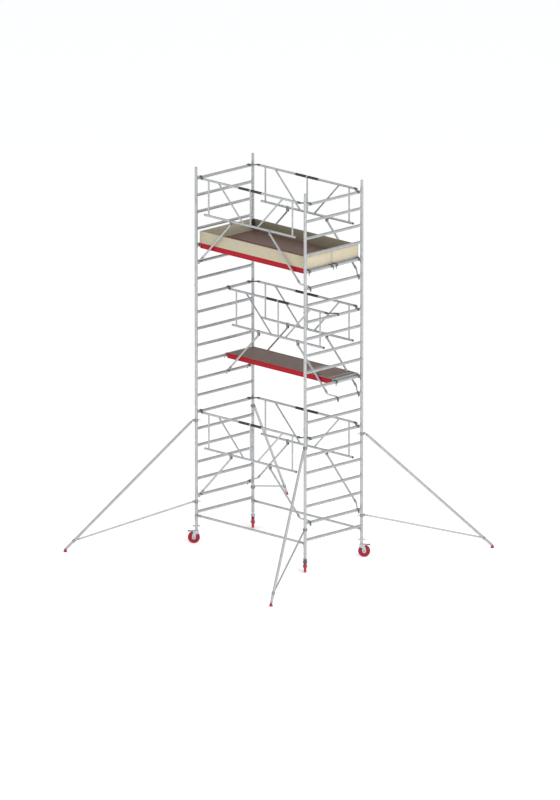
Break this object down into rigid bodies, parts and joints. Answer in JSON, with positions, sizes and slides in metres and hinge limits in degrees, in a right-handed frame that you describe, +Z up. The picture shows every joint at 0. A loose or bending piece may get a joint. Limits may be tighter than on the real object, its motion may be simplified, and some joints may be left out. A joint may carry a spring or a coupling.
{
  "type": "rolling frame scaffold tower",
  "caption": "Double-width aluminium rolling scaffold tower with ladder end frames, truss guardrails, hatch platforms, toe boards, adjustable castors and stabilisers.",
  "frame": {"origin": "on the ground at the centre of the tower's footprint", "axes": "+X along the tower from the left to the right end frame, +Y across it from the front to the back side, +Z up"},
  "size_m": [4.7932, 5.151, 6.315],
  "materials": {
    "tower_aluminium": "drawn tube, fine lengthways lines, satin",
    "clip_steel": "dark phosphated spring steel",
    "claw_casting": "dark grey cast claws, fine grain",
    "end_cap_plastic": "moulded cap",
    "grip_rubber": "black ribbed sleeve",
    "platform_paint": "crimson powder coat",
    "deck_plywood": "phenolic faced plywood with a mesh pressed anti-slip face",
    "toe_board_plywood": "clear sealed plywood",
    "bracket_plastic": "moulded corner bracket",
    "zinc_steel": "bright zinc plated",
    "wheel_plastic": "moulded crimson wheel",
    "pedal_steel": "zinc plated pressed pedal"
  },
  "bodies": {
    "tower": {"left_frame_lower": "tower_aluminium", "left_frame_middle": "tower_aluminium", "left_frame_upper": "tower_aluminium", "right_frame_lower": "tower_aluminium", "right_frame_middle": "tower_aluminium", "right_frame_upper": "tower_aluminium", "frame_spigots": "tower_aluminium", "frame_lock_clips": "clip_steel", "lower_braces": "tower_aluminium", "brace_claws": "claw_casting", "bottom_front_guardrail": "tower_aluminium", "bottom_back_guardrail": "tower_aluminium", "middle_front_guardrail": "tower_aluminium", "middle_back_guardrail": "tower_aluminium", "top_front_guardrail": "tower_aluminium", "top_back_guardrail": "tower_aluminium", "guardrail_claws": "claw_casting", "guardrail_leg_brackets": "claw_casting", "guardrail_end_caps": "end_cap_plastic", "guardrail_sleeves": "grip_rubber", "middle_platform_frame": "platform_paint", "front_platform_frame": "platform_paint", "back_platform_frame": "platform_paint", "middle_platform_deck": "deck_plywood", "front_platform_deck": "deck_plywood", "back_platform_deck": "deck_plywood", "platform_hooks": "claw_casting", "hatch_hinge_pins": "zinc_steel", "toe_boards": "toe_board_plywood", "toe_board_brackets": "bracket_plastic"},
    "middle_hatch": {"middle_hatch": "deck_plywood"},
    "front_hatch": {"front_hatch": "deck_plywood"},
    "front_left_leg": {"front_left_leg": "zinc_steel"},
    "front_left_nut": {"front_left_nut": "zinc_steel"},
    "front_left_fork": {"front_left_fork": "zinc_steel"},
    "front_left_wheel": {"front_left_wheel": "wheel_plastic"},
    "front_left_pedal": {"front_left_pedal": "pedal_steel"},
    "front_left_stabiliser": {"front_left_stabiliser": "tower_aluminium", "front_left_stabiliser_fittings": "claw_casting"},
    "front_right_leg": {"front_right_leg": "zinc_steel"},
    "front_right_nut": {"front_right_nut": "zinc_steel"},
    "front_right_fork": {"front_right_fork": "zinc_steel"},
    "front_right_wheel": {"front_right_wheel": "wheel_plastic"},
    "front_right_pedal": {"front_right_pedal": "pedal_steel"},
    "front_right_stabiliser": {"front_right_stabiliser": "tower_aluminium", "front_right_stabiliser_fittings": "claw_casting"},
    "back_left_leg": {"back_left_leg": "zinc_steel"},
    "back_left_nut": {"back_left_nut": "zinc_steel"},
    "back_left_fork": {"back_left_fork": "zinc_steel"},
    "back_left_wheel": {"back_left_wheel": "wheel_plastic"},
    "back_left_pedal": {"back_left_pedal": "pedal_steel"},
    "back_left_stabiliser": {"back_left_stabiliser": "tower_aluminium", "back_left_stabiliser_fittings": "claw_casting"},
    "back_right_leg": {"back_right_leg": "zinc_steel"},
    "back_right_nut": {"back_right_nut": "zinc_steel"},
    "back_right_fork": {"back_right_fork": "zinc_steel"},
    "back_right_wheel": {"back_right_wheel": "wheel_plastic"},
    "back_right_pedal": {"back_right_pedal": "pedal_steel"},
    "back_right_stabiliser": {"back_right_stabiliser": "tower_aluminium", "back_right_stabiliser_fittings": "claw_casting"}
  },
  "joints": [
    {"name": "middle_hatch_open", "type": "hinge", "parent": "tower", "child": "middle_hatch", "pos_m": [0.79, 0.586, 3.0965], "axis": [-1, 0, 0], "range_deg": [0, 90]},
    {"name": "front_hatch_open", "type": "hinge", "parent": "tower", "child": "front_hatch", "pos_m": [0.79, -0.586, 5.0565], "axis": [1, 0, 0], "range_deg": [0, 90]},
    {"name": "front_left_leg_slide", "type": "slide", "parent": "tower", "child": "front_left_leg", "axis": [0, 0, -1], "range_m": [0, 0.2]},
    {"name": "front_left_nut_turn", "type": "hinge", "parent": "tower", "child": "front_left_nut", "pos_m": [-1.25, -0.65, 0.29], "axis": [0, 0, 1], "range_deg": [0, 9000]},
    {"name": "front_left_swivel", "type": "hinge", "parent": "front_left_leg", "child": "front_left_fork", "pos_m": [-1.25, -0.65, 0.215], "axis": [0, 0, 1], "continuous": true},
    {"name": "front_left_wheel_spin", "type": "hinge", "parent": "front_left_fork", "child": "front_left_wheel", "pos_m": [-1.2797, -0.6797, 0.1], "axis": [0.7071, -0.7071, 0], "continuous": true},
    {"name": "front_left_brake_press", "type": "hinge", "parent": "front_left_fork", "child": "front_left_pedal", "pos_m": [-1.29526, -0.69525, 0.209], "axis": [0.7071, -0.7071, 0], "range_deg": [0, 10]},
    {"name": "front_left_stabiliser_swing", "type": "hinge", "parent": "tower", "child": "front_left_stabiliser", "pos_m": [-1.25, -0.65, 1.385], "axis": [0, 0, 1], "range_deg": [-45, 45]},
    {"name": "front_right_leg_slide", "type": "slide", "parent": "tower", "child": "front_right_leg", "axis": [0, 0, -1], "range_m": [0, 0.2]},
    {"name": "front_right_nut_turn", "type": "hinge", "parent": "tower", "child": "front_right_nut", "pos_m": [1.25, -0.65, 0.29], "axis": [0, 0, 1], "range_deg": [0, 9000]},
    {"name": "front_right_swivel", "type": "hinge", "parent": "front_right_leg", "child": "front_right_fork", "pos_m": [1.25, -0.65, 0.215], "axis": [0, 0, 1], "continuous": true},
    {"name": "front_right_wheel_spin", "type": "hinge", "parent": "front_right_fork", "child": "front_right_wheel", "pos_m": [1.2797, -0.6797, 0.1], "axis": [0.7071, 0.7071, 0], "continuous": true},
    {"name": "front_right_brake_press", "type": "hinge", "parent": "front_right_fork", "child": "front_right_pedal", "pos_m": [1.29526, -0.69525, 0.209], "axis": [0.7071, 0.7071, 0], "range_deg": [0, 10]},
    {"name": "front_right_stabiliser_swing", "type": "hinge", "parent": "tower", "child": "front_right_stabiliser", "pos_m": [1.25, -0.65, 1.385], "axis": [0, 0, 1], "range_deg": [-45, 45]},
    {"name": "back_left_leg_slide", "type": "slide", "parent": "tower", "child": "back_left_leg", "axis": [0, 0, -1], "range_m": [0, 0.2]},
    {"name": "back_left_nut_turn", "type": "hinge", "parent": "tower", "child": "back_left_nut", "pos_m": [-1.25, 0.65, 0.29], "axis": [0, 0, 1], "range_deg": [0, 9000]},
    {"name": "back_left_swivel", "type": "hinge", "parent": "back_left_leg", "child": "back_left_fork", "pos_m": [-1.25, 0.65, 0.215], "axis": [0, 0, 1], "continuous": true},
    {"name": "back_left_wheel_spin", "type": "hinge", "parent": "back_left_fork", "child": "back_left_wheel", "pos_m": [-1.2797, 0.6797, 0.1], "axis": [-0.7071, -0.7071, 0], "continuous": true},
    {"name": "back_left_brake_press", "type": "hinge", "parent": "back_left_fork", "child": "back_left_pedal", "pos_m": [-1.29526, 0.69525, 0.209], "axis": [-0.7071, -0.7071, 0], "range_deg": [0, 10]},
    {"name": "back_left_stabiliser_swing", "type": "hinge", "parent": "tower", "child": "back_left_stabiliser", "pos_m": [-1.25, 0.65, 1.385], "axis": [0, 0, 1], "range_deg": [-45, 45]},
    {"name": "back_right_leg_slide", "type": "slide", "parent": "tower", "child": "back_right_leg", "axis": [0, 0, -1], "range_m": [0, 0.2]},
    {"name": "back_right_nut_turn", "type": "hinge", "parent": "tower", "child": "back_right_nut", "pos_m": [1.25, 0.65, 0.29], "axis": [0, 0, 1], "range_deg": [0, 9000]},
    {"name": "back_right_swivel", "type": "hinge", "parent": "back_right_leg", "child": "back_right_fork", "pos_m": [1.25, 0.65, 0.215], "axis": [0, 0, 1], "continuous": true},
    {"name": "back_right_wheel_spin", "type": "hinge", "parent": "back_right_fork", "child": "back_right_wheel", "pos_m": [1.2797, 0.6797, 0.1], "axis": [-0.7071, 0.7071, 0], "continuous": true},
    {"name": "back_right_brake_press", "type": "hinge", "parent": "back_right_fork", "child": "back_right_pedal", "pos_m": [1.29526, 0.69525, 0.209], "axis": [-0.7071, 0.7071, 0], "range_deg": [0, 10]},
    {"name": "back_right_stabiliser_swing", "type": "hinge", "parent": "tower", "child": "back_right_stabiliser", "pos_m": [1.25, 0.65, 1.385], "axis": [0, 0, 1], "range_deg": [-45, 45]}
  ],
  "couplings": [
    {"joint": "front_left_nut_turn", "follows": "front_left_leg_slide", "rad_per_m": 785.4},
    {"joint": "front_right_nut_turn", "follows": "front_right_leg_slide", "rad_per_m": 785.4},
    {"joint": "back_left_nut_turn", "follows": "back_left_leg_slide", "rad_per_m": 785.4},
    {"joint": "back_right_nut_turn", "follows": "back_right_leg_slide", "rad_per_m": 785.4}
  ]
}
